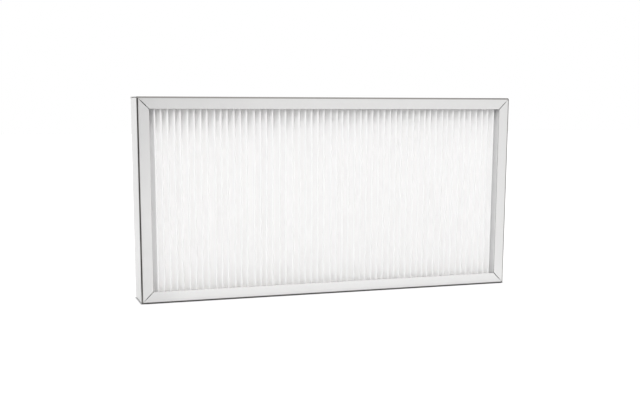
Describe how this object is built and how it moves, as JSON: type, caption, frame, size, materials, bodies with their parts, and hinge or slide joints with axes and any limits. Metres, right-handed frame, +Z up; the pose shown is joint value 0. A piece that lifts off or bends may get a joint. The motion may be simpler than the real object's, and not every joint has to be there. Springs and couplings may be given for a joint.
{
  "type": "pleated panel air filter",
  "caption": "Pleated panel air filter: white zigzag media sealed all round in one folded sheet metal channel with mitred flanges, backed by a grid of welded wires.",
  "frame": {"origin": "middle of the face that the filter stands on, the web of its long lower edge", "axes": "+X along the long edge, +Y from the dusty air side to the clean air side, +Z up"},
  "size_m": [0.495, 0.048, 0.25],
  "materials": {
    "galvanised_sheet": "smooth galvanised, soft sheen, burnished along the bends",
    "filter_media": "white nonwoven, matt, fine fibres",
    "sealant": "cast foam sealant, matt, off-white",
    "zinc_wire": "bright drawn wire, zinc plated"
  },
  "bodies": {
    "root": {"frame_channel": "galvanised_sheet", "pleated_media": "filter_media", "sealant_top": "sealant", "sealant_bottom": "sealant", "sealant_left": "sealant", "sealant_right": "sealant", "grid_long_wire_01": "zinc_wire", "grid_long_wire_02": "zinc_wire", "grid_long_wire_03": "zinc_wire", "grid_long_wire_04": "zinc_wire", "grid_long_wire_05": "zinc_wire", "grid_long_wire_06": "zinc_wire", "grid_long_wire_07": "zinc_wire", "grid_long_wire_08": "zinc_wire", "grid_long_wire_09": "zinc_wire", "grid_cross_wire_01": "zinc_wire", "grid_cross_wire_02": "zinc_wire", "grid_cross_wire_03": "zinc_wire", "grid_cross_wire_04": "zinc_wire", "grid_cross_wire_05": "zinc_wire", "grid_cross_wire_06": "zinc_wire", "grid_cross_wire_07": "zinc_wire", "grid_cross_wire_08": "zinc_wire", "grid_cross_wire_09": "zinc_wire", "grid_cross_wire_10": "zinc_wire", "grid_cross_wire_11": "zinc_wire", "grid_cross_wire_12": "zinc_wire", "grid_cross_wire_13": "zinc_wire", "grid_cross_wire_14": "zinc_wire", "grid_cross_wire_15": "zinc_wire", "grid_cross_wire_16": "zinc_wire", "grid_cross_wire_17": "zinc_wire", "grid_cross_wire_18": "zinc_wire", "grid_cross_wire_19": "zinc_wire"}
  },
  "joints": []
}
